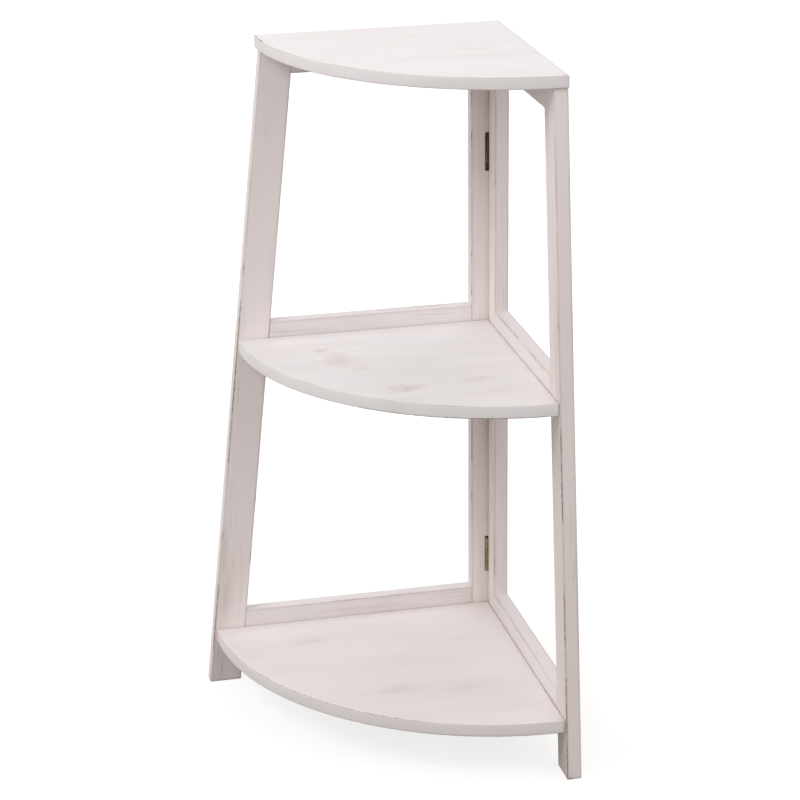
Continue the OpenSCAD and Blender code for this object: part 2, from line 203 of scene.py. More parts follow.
class ShelfColours(bpy.types.PropertyGroup):
    """Colours of the finishes."""

    frame_paint: colour("Frame paint", "Thick whitewash on the frames", display(243, 235, 234))
    frame_blush: colour("Frame blush", "Warm whitewash on the frames", display(238, 226, 222))
    # The lower rails' whitewash is set darker and a little greyer than the frames' as painted shade, for
    # the shade that the shelves above cast on them.
    rail_paint_and_shade: colour("Rail paint", "Thick whitewash on the lower rails", display(237, 231, 232))
    rail_blush_and_shade: colour("Rail blush", "Warm whitewash on the lower rails", display(231, 221, 220))
    shelf_paint: colour("Shelf paint", "Thick whitewash on the upper shelves", display(242, 237, 238))
    shelf_blush: colour("Shelf blush", "Warm whitewash on the upper shelves", display(236, 229, 229))
    bottom_paint: colour("Bottom paint", "Thick whitewash on the bottom shelf", display(242, 235, 234))
    bottom_blush: colour("Bottom blush", "Warm whitewash on the bottom shelf", display(236, 227, 225))
    streak: colour("Streak", "Grey of the open grain under the whitewash", display(204, 193, 190))
    knot: colour("Knot", "Faint knots under the whitewash", display(209, 190, 185))
    # Bare wood's colour also tints the painted shade in the inner corner between the posts.
    bare: colour("Bare wood", "Wood where the paint is thin", display(168, 138, 116))
    dark: colour("Dark wood", "Wood where an arris is rubbed bare", display(92, 64, 48))
    pine: colour("Pine", "Raw pine of the dowels", display(214, 180, 134))
    pine_grain: colour("Pine grain", "Darker grain of the dowels", display(178, 136, 88))
    brass: colour("Brass", "Rubbed brass of the hinge leaves", display(164, 143, 112))
    patina: colour("Patina", "Dark patina on the hinges", display(70, 50, 38))
    zinc: colour("Zinc", "Plated steel of the cleat screws", display(186, 186, 182))
    zinc_dull: colour("Dull zinc", "Dull spots in the plating", display(128, 128, 126))


def sizes():
    """The sizes now set on the scene."""
    return bpy.context.scene.corner_shelf_sizes


def colours():
    """The colours now set on the scene."""
    return bpy.context.scene.corner_shelf_colours


# Mesh work, as by hand: one piece at a time, in edit mode
def only(piece):
    """Selects one piece and makes it the active one."""
    bpy.ops.object.select_all(action="DESELECT")
    piece.select_set(True)
    bpy.context.view_layer.objects.active = piece


@contextmanager
def shaping(piece):
    """Edit mode on one piece."""
    only(piece)
    bpy.ops.object.mode_set(mode="EDIT")
    yield
    bpy.ops.object.mode_set(mode="OBJECT")


def settle(piece):
    """Puts a piece's place, turn and size into its mesh."""
    only(piece)
    bpy.ops.object.transform_apply(location=True, rotation=True, scale=True)


def newest(name):
    """The object that a primitive operator has just added, named and settled."""
    piece = bpy.context.object
    piece.name = name
    piece.data.name = name
    settle(piece)
    return piece


def block(name, low, high):
    """A block between two corners."""
    bpy.ops.object.select_all(action="DESELECT")
    bpy.ops.mesh.primitive_cube_add(size=1, location=(low + high) / 2, scale=high - low)
    return newest(name)


def rod(name, start, end, radius, far_radius=None):
    """A round rod or taper between two points."""
    bpy.ops.object.select_all(action="DESELECT")
    far = radius if far_radius is None else far_radius
    turn = (end - start).to_track_quat("Z", "Y").to_euler()
    bpy.ops.mesh.primitive_cone_add(vertices=ROD_STEPS, radius1=radius, radius2=far,
                                    depth=(end - start).length, location=(start + end) / 2,
                                    rotation=turn)
    return newest(name)


def saw(face):
    """Cuts off what lies beyond a plane and closes the cut."""
    bpy.ops.mesh.select_all(action="SELECT")
    bpy.ops.mesh.bisect(plane_co=face.point, plane_no=face.outward, use_fill=True, clear_outer=True)


def score(point, direction):
    """Marks an edge loop where a plane meets the surface."""
    bpy.ops.mesh.select_all(action="SELECT")
    bpy.ops.mesh.bisect(plane_co=point, plane_no=direction)


def choose(piece, kind, test):
    """Selects the parts of one kind, VERT, EDGE or FACE, that pass a test."""
    bpy.ops.mesh.select_mode(type=kind)
    bpy.ops.mesh.select_all(action="DESELECT")
    mesh = bmesh.from_edit_mesh(piece.data)
    for part in {"VERT": mesh.verts, "EDGE": mesh.edges, "FACE": mesh.faces}[kind]:
        if test(part):
            part.select_set(True)
    mesh.select_flush_mode()
    bmesh.update_edit_mesh(piece.data)


def edge_middle(edge):
    """The place halfway along an edge."""
    return (edge.verts[0].co + edge.verts[1].co) / 2


def sharp(edge):
    """True where two faces meet at a corner, not along a curve."""
    return len(edge.link_faces) == 2 and edge.calc_face_angle(0.0) > SHARP_ANGLE


def ease(radius, segments=3):
    """Rounds the selected edges."""
    bpy.ops.mesh.bevel(offset=radius, segments=segments, profile=0.5, affect="EDGES", clamp_overlap=True)


def cut(piece, cutters):
    """Takes the cutters' shapes out of a piece and removes them."""
    for cutter in cutters:
        only(piece)
        tool = piece.modifiers.new("Cut", "BOOLEAN")
        tool.operation = "DIFFERENCE"
        tool.solver = "EXACT"
        tool.object = cutter
        bpy.ops.object.modifier_apply(modifier=tool.name)
    for cutter in cutters:
        only(cutter)
        bpy.ops.object.delete()


def depths(faces, place):
    """How deep a place lies below each face, the shallowest first."""
    return sorted((face.point - place).dot(face.outward) for face in faces)


def skin(face):
    """A function that gives the depth of a place below a face."""
    return lambda place: (face.point - place).dot(face.outward)


def rubs_on(first, second, axis, stretches):
    """The rubbed stretches of the arris between two skins."""
    return [Rub((first, second), axis, *stretch) for stretch in stretches]


def rubbed(rubs, place):
    """How bare the arris beside a place is rubbed, from 0 to 1."""
    reach = sizes().wear_reach * RUB_SPREAD
    for rub in rubs:
        beside = max(depth(place) for depth in rub.skins) < reach
        if beside and rub.start <= place.dot(rub.axis) <= rub.end:
            return rub.strength
    return 0.0


def mark(piece, along, across, skins, rubs, seed):
    """Writes what the finish follows: "grain" runs along the wood, "arris" is 1 on an edge and fades to
    0 a little way in from it, and "rub" tells how far the edge is rubbed down to the wood."""
    draw = random.Random(seed)
    shift = Vector((draw.uniform(-9, 9), draw.uniform(-9, 9), draw.uniform(-9, 9)))
    through = along.cross(across)
    reach = sizes().wear_reach
    mesh = piece.data
    for name, kind in (("grain", "FLOAT_VECTOR"), ("arris", "FLOAT"), ("rub", "FLOAT")):
        mesh.attributes.new(name, kind, "POINT")
    grain, arris, rub = (mesh.attributes[name].data for name in ("grain", "arris", "rub"))
    for vertex in mesh.vertices:
        place = vertex.co
        grain[vertex.index].vector = shift + Vector(
            (place.dot(along), place.dot(across), place.dot(through)))
        below = sorted(depth(place) for depth in skins)
        arris[vertex.index].value = max(0.0, 1.0 - max(0.0, below[1]) / reach)
        rub[vertex.index].value = rubbed(rubs, place)


def coat(piece, name):
    """Gives a piece one of the finishes as its only material."""
    piece.data.materials.clear()
    piece.data.materials.append(FINISHES[name])


def finish(piece, node, body, name):
    """Shades a finished piece, gives it its finish in its one material slot and its body, and hides the
    node that it stands for.
    """
    only(piece)
    bpy.ops.object.shade_smooth_by_angle(angle=CURVE_ANGLE)
    coat(piece, name)
    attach(piece, body)
    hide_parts(node)


# Shader groups and materials
FINISHES = {}


class Tree:
    """Places nodes in a material or group, from left to right, and joins them."""

    def __init__(self, tree):
        self.tree = tree
        self.column = 0

    def add(self, kind, inputs=(), **settings):
        """Adds a node, sets its options, and gives each named socket its value or joins an output."""
        node = self.tree.nodes.new(kind)
        node.location = (200 * self.column, -60 * (self.column % 3))
        self.column += 1
        for option, value in settings.items():
            setattr(node, option, value)
        for socket, value in dict(inputs).items():
            self.fill(node.inputs[socket], value)
        return node

    def fill(self, socket, value):
        """Joins an output to a socket, or sets its plain value."""
        if isinstance(value, bpy.types.NodeSocket):
            self.tree.links.new(value, socket)
        else:
            socket.default_value = value

    def math(self, operation, first, second=0.0, clamp=False):
        node = self.add("ShaderNodeMath", {0: first, 1: second}, operation=operation, use_clamp=clamp)
        return node.outputs[0]

    def plus(self, first, second):
        return self.math("ADD", first, second)

    def less(self, first, second):
        return self.math("SUBTRACT", first, second)

    def times(self, first, second):
        return self.math("MULTIPLY", first, second)

    def vector(self, operation, first, second):
        socket = "Scale" if operation == "SCALE" else 1
        node = self.add("ShaderNodeVectorMath", {0: first, socket: second}, operation=operation)
        return node.outputs[0]

    def place(self):
        """Where a point lies on the object."""
        return self.add("ShaderNodeTexCoord").outputs["Object"]

    def distance(self, vector):
        """The length of a vector."""
        return self.add("ShaderNodeVectorMath", {0: vector}, operation="LENGTH").outputs["Value"]

    def step(self, value, low, high, to_low=0.0, to_high=1.0):
        """A smooth change from to_low to to_high as the value goes from low to high."""
        node = self.add("ShaderNodeMapRange", {"Value": value, "From Min": low, "From Max": high,
                                               "To Min": to_low, "To Max": to_high},
                        interpolation_type="SMOOTHSTEP")
        return node.outputs["Result"]

    def mix(self, share, first, second):
        node = self.add("ShaderNodeMix", {"Factor": share, 6: first, 7: second}, data_type="RGBA")
        return node.outputs[2]

    def noise(self, vector, scale, detail=3.0, roughness=0.55):
        node = self.add("ShaderNodeTexNoise", {"Vector": vector, "Scale": scale, "Detail": detail,
                                               "Roughness": roughness})
        return node.outputs["Fac"]

    def streaks(self, vector, stretch, detail=3.0, roughness=0.55):
        """Noise that is drawn out along the grain."""
        return self.noise(self.vector("MULTIPLY", vector, stretch), 1.0, detail, roughness)

    def group(self, group, inputs):
        return self.add("ShaderNodeGroup", inputs, node_tree=group).outputs


# The kinds of the groups' sockets that aren't plain values
KINDS = {"Vector": "Vector", "Place": "Vector", "Size": "Vector", "Colour": "Color", "Paint": "Color",
         "Blush": "Color", "Metal": "Color", "Dull": "Color"}


def new_group(name, inputs, outputs):
    """A shader group with named sockets."""
    group = bpy.data.node_groups.new(name, "ShaderNodeTree")
    for way, sockets in (("INPUT", inputs), ("OUTPUT", outputs)):
        for socket in sockets:
            kind = KINDS.get(socket, "Float")
            group.interface.new_socket(name=socket, in_out=way, socket_type=f"NodeSocket{kind}")
    tree = Tree(group)
    return group, tree, tree.add("NodeGroupInput").outputs


def grain_group():
    """Long streaks along the wood, fine and broad."""
    group, tree, given = new_group("Wood grain", ("Vector", "Along", "Across"),
                                   ("Fine", "Broad", "Pores"))
    across = given["Across"]
    per_metre = tree.add("ShaderNodeCombineXYZ", {0: given["Along"], 1: across, 2: across})
    stretched = tree.vector("MULTIPLY", given["Vector"], per_metre.outputs[0])
    sway = tree.streaks(stretched, (0.5, 0.03, 0.03), 2.0)
    bent = tree.vector("ADD", stretched, tree.vector("MULTIPLY", (0.0, 6.0, 6.0), sway))
    fine = tree.noise(bent, 1.0, 4.0, 0.62)
    broad = tree.streaks(bent, (0.45, 0.16, 0.16), 2.0, 0.5)
    pores = tree.streaks(bent, (2.2, 2.6, 2.6), 2.0, 0.5)
    tree.add("NodeGroupOutput", {"Fine": fine, "Broad": broad, "Pores": pores})
    return group


def wear_group():
    """Where paint is rubbed from an arris: a thin coat beside it, and bare dark wood on it."""
    group, tree, given = new_group("Rubbed arris", ("Vector", "Arris", "Rub", "Amount"),
                                   ("Thin", "Bare"))
    patch = tree.streaks(given["Vector"], (11.0, 30.0, 30.0), 2.0, 0.6)
    chip = tree.streaks(given["Vector"], (210.0, 420.0, 420.0), 3.0, 0.6)
    place = tree.step(patch, tree.less(0.72, tree.times(given["Amount"], 0.3)),
                      tree.less(0.86, tree.times(given["Amount"], 0.3)))
    place = tree.math("MAXIMUM", place, given["Rub"])
    depth = tree.less(0.9, tree.times(given["Rub"], 0.5))
    chips = tree.times(tree.less(chip, 0.5), depth)
    ragged = tree.plus(given["Arris"], chips)
    ragged = tree.plus(ragged, tree.times(given["Rub"], 0.22))
    bare = tree.times(tree.step(ragged, 0.92, 1.06), place)
    share = tree.math("MAXIMUM", tree.step(patch, 0.35, 0.7, 0.3, 0.8), given["Rub"])
    halo = tree.less(1.0, tree.times(given["Amount"], 1.2))
    thin = tree.times(tree.step(given["Arris"], halo, 1.0), share)
    tree.add("NodeGroupOutput", {"Thin": thin, "Bare": bare})
    return group


def knot_group():
    """One soft knot at a place, long along the grain, with a small darker heart."""
    group, tree, given = new_group("Faint knot", ("Vector", "Place", "Size", "Strength"), ("Mask",))
    sway = tree.add("ShaderNodeTexNoise", {"Vector": given["Vector"], "Scale": 55.0, "Detail": 3.0})
    sway = tree.vector("SCALE", tree.vector("SUBTRACT", sway.outputs["Color"], (0.5, 0.5, 0.5)), 0.03)
    offset = tree.vector("SUBTRACT", tree.vector("ADD", given["Vector"], sway), given["Place"])
    share = tree.vector("DIVIDE", offset, given["Size"])
    away = tree.distance(share)
    lines = tree.streaks(given["Vector"], (40.0, 420.0, 40.0), 3.0, 0.6)
    haze = tree.times(tree.step(away, 0.3, 1.25, 0.8, 0.0), tree.step(lines, 0.34, 0.62, 0.35, 1.0))
    heart = tree.step(away, 0.12, 0.4, 0.45, 0.0)
    mask = tree.math("MULTIPLY", tree.plus(haze, heart), given["Strength"], clamp=True)
    tree.add("NodeGroupOutput", {"Mask": mask})
    return group


def whitewash_group(grain, wear):
    """Whitewash over pine: warm and cool patches, grey grain, faint knots, a coat that is thin in
    places, painted shade that a material gives it, specks and rubbed arrises."""
    shades = colours()
    group, tree, given = new_group(
        "Whitewash",
        ("Vector", "Arris", "Rub", "Knot", "Thin coat and shade", "Paint", "Blush", "Grain", "Warmth", "Wear",
         "Specks"),
        ("Colour", "Roughness", "Height"))
    vector = given["Vector"]
    lines = tree.group(grain, {"Vector": vector, "Along": 7.0, "Across": 230.0})
    worn = tree.group(wear, {"Vector": vector, "Arris": given["Arris"], "Rub": given["Rub"],
                             "Amount": given["Wear"]})

    cloud = tree.streaks(vector, (5.0, 22.0, 22.0), 3.0, 0.55)
    warmth = tree.times(tree.step(cloud, 0.36, 0.68), given["Warmth"])
    wash = tree.mix(warmth, given["Paint"], given["Blush"])
    thinness = tree.times(tree.step(lines["Broad"], 0.50, 0.72),
                          tree.step(lines["Fine"], 0.44, 0.66, 0.25, 1.0))
    wash = tree.mix(tree.times(thinness, given["Grain"]), wash, shades.streak)
    patch = tree.streaks(vector, (6.0, 26.0, 26.0), 2.0)
    pores = tree.times(tree.step(lines["Pores"], 0.58, 0.70), tree.step(patch, 0.56, 0.68))
    wash = tree.mix(tree.times(tree.times(pores, given["Grain"]), 0.55), wash, shades.bare)
    wash = tree.mix(given["Knot"], wash, shades.knot)
    # On the frames this mix paints shade into the inner corner under the shelves; on the right leg it
    # thins the coat.
    wash = tree.mix(given["Thin coat and shade"], wash, shades.bare)
    cells = tree.vector("MULTIPLY", vector, (60.0, 75.0, 75.0))
    spots = tree.add("ShaderNodeTexVoronoi", {"Vector": cells, "Scale": 1.0})
    chance = tree.add("ShaderNodeSeparateColor", {0: spots.outputs["Color"]}).outputs[0]
    rare = tree.math("LESS_THAN", chance, 0.08)
    speck = tree.times(tree.step(spots.outputs["Distance"], 0.035, 0.08, 1.0, 0.0), rare)
    wash = tree.mix(tree.times(speck, given["Specks"]), wash, shades.dark)
    wash = tree.mix(worn["Thin"], wash, tree.mix(0.55, given["Blush"], shades.bare))
    bare = tree.mix(tree.step(lines["Fine"], 0.35, 0.7), shades.dark, shades.bare)
    wash = tree.mix(worn["Bare"], wash, bare)

    dull = tree.plus(0.56, tree.times(lines["Fine"], 0.16))
    height = tree.less(tree.times(lines["Fine"], 0.6), tree.plus(tree.times(pores, 0.25), worn["Bare"]))
    rough = tree.plus(dull, tree.times(worn["Bare"], 0.12))
    tree.add("NodeGroupOutput", {"Colour": wash, "Roughness": rough, "Height": height})
    return group


def patina_group():
    """Metal that has darkened unevenly and is rubbed brighter in places."""
    group, tree, given = new_group("Patina", ("Vector", "Metal", "Dull", "Cover", "Scale"),
                                   ("Colour", "Roughness", "Height"))
    cloud = tree.noise(given["Vector"], given["Scale"], 4.0, 0.6)
    grit = tree.noise(given["Vector"], tree.times(given["Scale"], 7.0), 2.0, 0.5)
    uneven = tree.plus(cloud, tree.times(tree.less(grit, 0.5), 0.25))
    lower = tree.less(0.95, given["Cover"])
    cover = tree.step(uneven, tree.less(lower, 0.3), tree.plus(lower, 0.3))
    tree.add("NodeGroupOutput", {"Colour": tree.mix(cover, given["Metal"], given["Dull"]),
                                 "Roughness": tree.plus(0.42, tree.times(cover, 0.2)),
                                 "Height": tree.plus(tree.times(grit, 0.3), cover)})
    return group


def new_material(name):
    """An empty material with its shader, and the tree to work in."""
    material = bpy.data.materials.new(name)
    material.use_nodes = True
    material.node_tree.nodes.clear()
    return material, Tree(material.node_tree)


def complete(tree, results, bump, **constants):
    """Joins a group's colour, roughness and height to a shader whose other values are plain."""
    shader = tree.add("ShaderNodeBsdfPrincipled", {"Base Color": results["Colour"],
                                                   "Roughness": results["Roughness"]})
    for socket, value in constants.items():
        shader.inputs[socket.replace("_", " ")].default_value = value
    relief = tree.add("ShaderNodeBump", {"Height": results["Height"], "Distance": bump, "Strength": 0.5})
    tree.fill(shader.inputs["Normal"], relief.outputs[0])
    tree.add("ShaderNodeOutputMaterial", {"Surface": shader.outputs[0]})


def placed_knots(tree, group, place):
    """A mask of the knots that the photograph shows on the shelves."""
    mask = 0.0
    for level, knots in KNOTS.items():
        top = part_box(f"{level}_shelf")[1].z
        for x, y, length_half, width_half, strength in knots:
            knot = tree.group(group, {"Vector": place, "Place": (x, y, top),
                                      "Size": (length_half, width_half, KNOT_DEPTH),
                                      "Strength": strength})
            mask = tree.math("MAXIMUM", knot["Mask"], mask)
    return mask


def painted_corner_shade(tree, place):
    """Painted shade in the corner where the two posts meet, strongest just under a shelf, given as how
    much of the bare wood's colour is mixed into the coat there. It reaches 1/60 m along the left post
    and
    1/28 m along the right one."""
    joint = (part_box("right_post")[0].x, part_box("left_post")[0].y, 0.0)
    offset = tree.vector("MULTIPLY", tree.vector("SUBTRACT", place, joint), (60.0, 28.0, 0.0))
    near = tree.step(tree.distance(offset), 0.0, 1.0, 1.0, 0.0)
    height = tree.add("ShaderNodeSeparateXYZ", {0: place}).outputs["Z"]
    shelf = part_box("middle_shelf")
    low, high = 0.11, 0.27
    upper = tree.step(height, 0.55, 0.76, low, high)
    lower = tree.times(tree.step(height, 0.18, 0.38, low, high),
                       tree.step(height, shelf[0].z, shelf[1].z, 1.0, 0.0))
    return tree.times(near, tree.math("MAXIMUM", upper, lower))


def leg_side(tree, place):
    """How thin the coat is on the right leg: most on its room face, and fading out towards its top."""
    parts = tree.add("ShaderNodeSeparateXYZ", {0: place}).outputs
    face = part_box("right_leg")[0].x
    share = tree.step(parts["X"], face, face + LEG_FACE, 0.17, 0.06)
    return tree.times(share, tree.step(parts["Z"], 0.45, 0.72, 1.0, 0.0))


def whitewash_material(name, group, paint, blush, amounts, thin_coat_and_shade=None, knots=None):
    """A whitewash that follows a piece's own grain and arrises."""
    material, tree = new_material(name)
    grain = tree.add("ShaderNodeAttribute", attribute_name="grain").outputs["Vector"]
    arris = tree.add("ShaderNodeAttribute", attribute_name="arris").outputs["Fac"]
    rub = tree.add("ShaderNodeAttribute", attribute_name="rub").outputs["Fac"]
    place = tree.place()
    mask = placed_knots(tree, knots, place) if knots else 0.0
    results = tree.group(group, {"Vector": grain, "Arris": arris, "Rub": rub, "Knot": mask,
                                 "Thin coat and shade": thin_coat_and_shade(tree, place) if thin_coat_and_shade else 0.0,
                                 "Paint": paint, "Blush": blush, **amounts})
    complete(tree, results, PAINT_RELIEF, Specular_IOR_Level=0.3)
    return material


def metal_material(name, group, metal, dull, cover, scale):
    """A metal with a patina."""
    material, tree = new_material(name)
    results = tree.group(group, {"Vector": tree.place(), "Metal": metal, "Dull": dull, "Cover": cover,
                                 "Scale": scale})
    complete(tree, results, METAL_RELIEF, Metallic=1.0)
    return material


def pine_material(name, grain):
    """Raw pine for the dowels, with fine streaks."""
    shades = colours()
    material, tree = new_material(name)
    lines = tree.group(grain, {"Vector": tree.place(), "Along": 30.0, "Across": 900.0})
    wood = tree.mix(tree.step(lines["Fine"], 0.38, 0.66), shades.pine, shades.pine_grain)
    rough = tree.plus(0.6, tree.times(lines["Fine"], 0.2))
    complete(tree, {"Colour": wood, "Roughness": rough, "Height": lines["Fine"]}, PINE_RELIEF)
    return material


def make_finishes():
    """Builds the shader groups and the materials, once."""
    if FINISHES:
        return
    shades = colours()
    grain = grain_group()
    wash = whitewash_group(grain, wear_group())
    patina = patina_group()
    frame_amounts = {"Grain": 0.62, "Warmth": 0.45, "Wear": 0.55, "Specks": 0.9}
    shelf_amounts = {"Grain": 0.12, "Warmth": 0.5, "Wear": 0.30, "Specks": 0.25}
    knot = knot_group()
    for name, paint, blush, amounts, thin_coat_and_shade, knots in (
            # The frames' whitewash paints shade into the inner corner under each shelf.
            ("frame", shades.frame_paint, shades.frame_blush, frame_amounts, painted_corner_shade, None),
            ("right_leg", shades.frame_paint, shades.frame_blush, frame_amounts, leg_side, None),
            # The lower rails' whitewash is darker as painted shade under the shelves.
            ("rail", shades.rail_paint_and_shade, shades.rail_blush_and_shade, frame_amounts, None, None),
            ("shelf", shades.shelf_paint, shades.shelf_blush, shelf_amounts, None, knot),
            ("bottom", shades.bottom_paint, shades.bottom_blush, shelf_amounts, None, knot)):
        FINISHES[name] = whitewash_material(f"whitewashed_{name}", wash, paint, blush, amounts,
                                            thin_coat_and_shade, knots)
    FINISHES["pine"] = pine_material("raw_pine", grain)
    # The upper hinge's brass takes more patina cover than the lower one's: painted shade, as it stands
    # in the top shelf's shadow.
    for name, metal, dull, cover, scale in (
            ("upper_brass", shades.brass, shades.patina, 0.66, 130.0),
            ("lower_brass", shades.brass, shades.patina, 0.38, 130.0),
            ("dark_brass", shades.brass, shades.patina, 0.75, 180.0),
            ("zinc", shades.zinc, shades.zinc_dull, 0.36, 500.0)):
        FINISHES[name] = metal_material(name, patina, metal, dull, cover, scale)


# Boards
def box_faces(low, high):
    """The six faces of a box."""
    return [Face(low, -axis) for axis in (X, Y, Z)] + [Face(high, axis) for axis in (X, Y, Z)]


def parted(faces, axis):
    """The faces that run along an axis, and those that stand across it."""
    along = [face for face in faces if abs(face.outward.dot(axis)) < 0.5]
    across = [face for face in faces if abs(face.outward.dot(axis)) > 0.5]
    return along, across


def leg_faces(side):
    """The leaning edges of a side's front leg, the outer one first."""
    low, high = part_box(f"{side.name}_leg")
    lean = sizes().leg_lean
    foot = max((low, high), key=lambda place: place.dot(side.out))
    foot = Vector((foot.x, foot.y, 0))
    span = abs((high - low).dot(side.out)) - high.z * tan(lean)
    outward = side.out * cos(lean) + Z * sin(lean)
    return Face(foot, outward), Face(foot - side.out * span, -outward)


def dress_board(piece, along, faces, arris, ends, seed):
    """Eases a board's arrises and adds the edge loops that its wear follows.
    faces are its four long faces, and ends the end faces that stand free."""
    vertices = piece.data.vertices
    centre = sum((vertex.co for vertex in vertices), Vector()) / len(vertices)
    stations = [vertex.co.dot(along) for vertex in vertices]
    first, last = min(stations), max(stations)

    def long_arris(edge):
        way = (edge.verts[1].co - edge.verts[0].co).normalized()
        return (sharp(edge) and depths(faces, edge_middle(edge))[1] < ON_FACE
                and abs(way.dot(along)) > PARALLEL)

    def end_arris(edge):
        return sharp(edge) and depths(ends, edge_middle(edge))[0] < ON_FACE

    with shaping(piece):
        choose(piece, "EDGE", long_arris)
        ease(arris)
        if ends:
            choose(piece, "EDGE", end_arris)
            ease(sizes().end_arris, 2)
        steps = max(2, round((last - first) / sizes().score_step))
        for step in range(1, steps):
            place = first + (last - first) * step / steps
            score(centre + along * (place - centre.dot(along)), along)
        for face in faces + ends:
            score(face.point - face.outward * sizes().wear_reach, face.outward)
        choose(piece, "VERT", lambda vertex: depths(faces, vertex.co)[1] < arris * CREST_SHARE)
        bpy.ops.transform.vertex_random(offset=sizes().hand_wear, uniform=0.0, normal=1.0, seed=seed)


def make_post(side, seed):
    """A corner post with the recesses that its hinge leaves lie in."""
    node = f"{side.name}_post"
    low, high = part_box(node)
    piece = block(f"{node}_board", low, high)
    faces = box_faces(low, high)
    long_faces, ends = parted(faces, Z)
    dress_board(piece, Z, long_faces, sizes().board_arris, ends, seed)
    cut(piece, hinge_recess(side, "upper") + hinge_recess(side, "lower"))
    rubs = rubs_on(skin(Face(low, side.out)), skin(Face(low, side.room)), Z, POST_RUBS[side.name])
    mark(piece, Z, side.out, [skin(face) for face in faces], rubs, seed)
    finish(piece, node, side.body, "frame")


def hinge_recess(side, level):
    """The shapes that a hinge takes out of a post: its barrel and its leaf."""
    pin_low, pin_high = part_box(f"{level}_hinge_pin")
    leaf_low, leaf_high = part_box(f"{level}_hinge_{side.name}_leaf")
    fit = sizes().hinge_fit
    axis = (pin_low + pin_high) / 2
    radius = (pin_high.x - pin_low.x) / 2 + fit
    half = (pin_high.z - pin_low.z) / 2 + fit
    barrel = rod("barrel_cutter", axis - Z * half, axis + Z * half, radius)
    wall = 1 if side is LEFT else -1
    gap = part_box("left_post")[0].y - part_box("right_post")[1].y
    inside = axis.y - wall * RECESS_CLEARANCE
    outside = axis.y + wall * (gap / 2 + sizes().leaf_thickness)
    low = Vector((axis.x, min(inside, outside), leaf_low.z - fit))
    high = Vector((axis.x + sizes().leaf_reach + fit, max(inside, outside), leaf_high.z + fit))
    return [barrel, block("leaf_cutter", low, high)]


def make_leg(side, seed):
    """A leaning front leg, cut level at the floor and under the shelf."""
    node = f"{side.name}_leg"
    low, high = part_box(node)
    piece = block(f"{node}_board", low, high)
    outer, inner = leg_faces(side)
    with shaping(piece):
        saw(outer)
        saw(inner)
    faces = box_faces(low, high)
    flat = parted(faces, side.room)[1]
    ends = parted(faces, Z)[1]
    along = Z * cos(sizes().leg_lean) - side.out * sin(sizes().leg_lean)
    dress_board(piece, along, [outer, inner] + flat, sizes().board_arris, ends, seed)
    front = skin(Face(low, side.room))
    rubs = rubs_on(skin(outer), front, Z, LEG_RUBS[side.name]["outer"])
    rubs += rubs_on(skin(inner), front, Z, LEG_RUBS[side.name]["inner"])
    mark(piece, along, outer.outward, [skin(face) for face in [outer, inner] + flat + ends], rubs, seed)
    finish(piece, node, side.body, "frame" if side is LEFT else "right_leg")


def make_rail(side, level, seed):
    """A rail from the post to the leg, its far end cut to the leg's lean."""
    node = f"{side.name}_{level}_rail"
    low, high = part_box(node)
    piece = block(f"{node}_board", low, high)
    inner = leg_faces(side)[1]
    with shaping(piece):
        saw(Face(inner.point, -inner.outward))
    long_faces = parted(box_faces(low, high), side.out)[0]
    dress_board(piece, -side.out, long_faces, sizes().board_arris, [], seed)
    start = CORNER.dot(-side.out)
    stretches = [(near - start, far - start, strength)
                 for near, far, strength in RAIL_RUBS[side.name].get(level, ())]
    rubs = rubs_on(skin(Face(high, Z)), skin(Face(low, side.room)), side.out, stretches)
    mark(piece, -side.out, Z, [skin(face) for face in long_faces], rubs, seed)
    # The middle and bottom rails take the darker rail whitewash, which paints the shade under the
    # shelves.
    finish(piece, node, side.body, "frame" if level == "top" else "rail")


def make_cleat(side, level, seed):
    """A cleat with two countersunk screw holes."""
    node = f"{side.name}_{level}_cleat"
    low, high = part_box(node)
    piece = block(f"{node}_strip", low, high)
    faces = box_faces(low, high)
    long_faces, ends = parted(faces, side.out)
    dress_board(piece, -side.out, long_faces, sizes().cleat_arris, ends, seed)
    middle = (low + high) / 2
    half = abs((high - low).dot(side.out)) / 2 - sizes().screw_inset
    depth = abs((high - low).dot(side.room)) / 2
    head = sizes().screw_head / 2
    cutters = []
    for turn in (-1, 1):
        centre = middle + side.out * half * turn
        face = centre + side.room * depth
        cutters.append(rod("sink_cutter", face + side.room * CLEARANCE, face - side.room * head / 2,
                           head + CLEARANCE, head / 2))
        cutters.append(rod("shank_cutter", face, centre - side.room * depth * SHANK_RUN, head / 2))
    cut(piece, cutters)
    mark(piece, -side.out, Z, [skin(face) for face in faces], [], seed)
    finish(piece, node, side.body, "frame")


